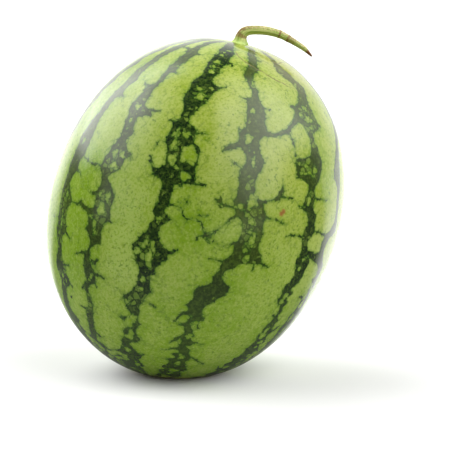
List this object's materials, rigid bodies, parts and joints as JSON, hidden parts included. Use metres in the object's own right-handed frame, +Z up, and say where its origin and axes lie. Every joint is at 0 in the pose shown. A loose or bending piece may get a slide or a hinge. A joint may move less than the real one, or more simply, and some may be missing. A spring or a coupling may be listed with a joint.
{
  "type": "whole watermelon",
  "caption": "Whole striped oval watermelon as picked, with its curved cut stalk, standing on a small flat spot beside the blossom end.",
  "frame": {"origin": "centre of the flat spot that the fruit rests on", "axes": "+Z up; the stem end leans towards +X and the stalk bends that way too; the front of the picture is the -Y side"},
  "size_m": [0.2495, 0.2392, 0.2915],
  "materials": {
    "rind": "waxy satin rind, light yellow-green with dark blue-green netted stripes from end to end",
    "stalk": "dull green ridged stalk with brown dried rings and a brown cut tip"
  },
  "bodies": {
    "root": {"watermelon_fruit": "rind", "watermelon_stalk": "stalk"}
  },
  "joints": []
}
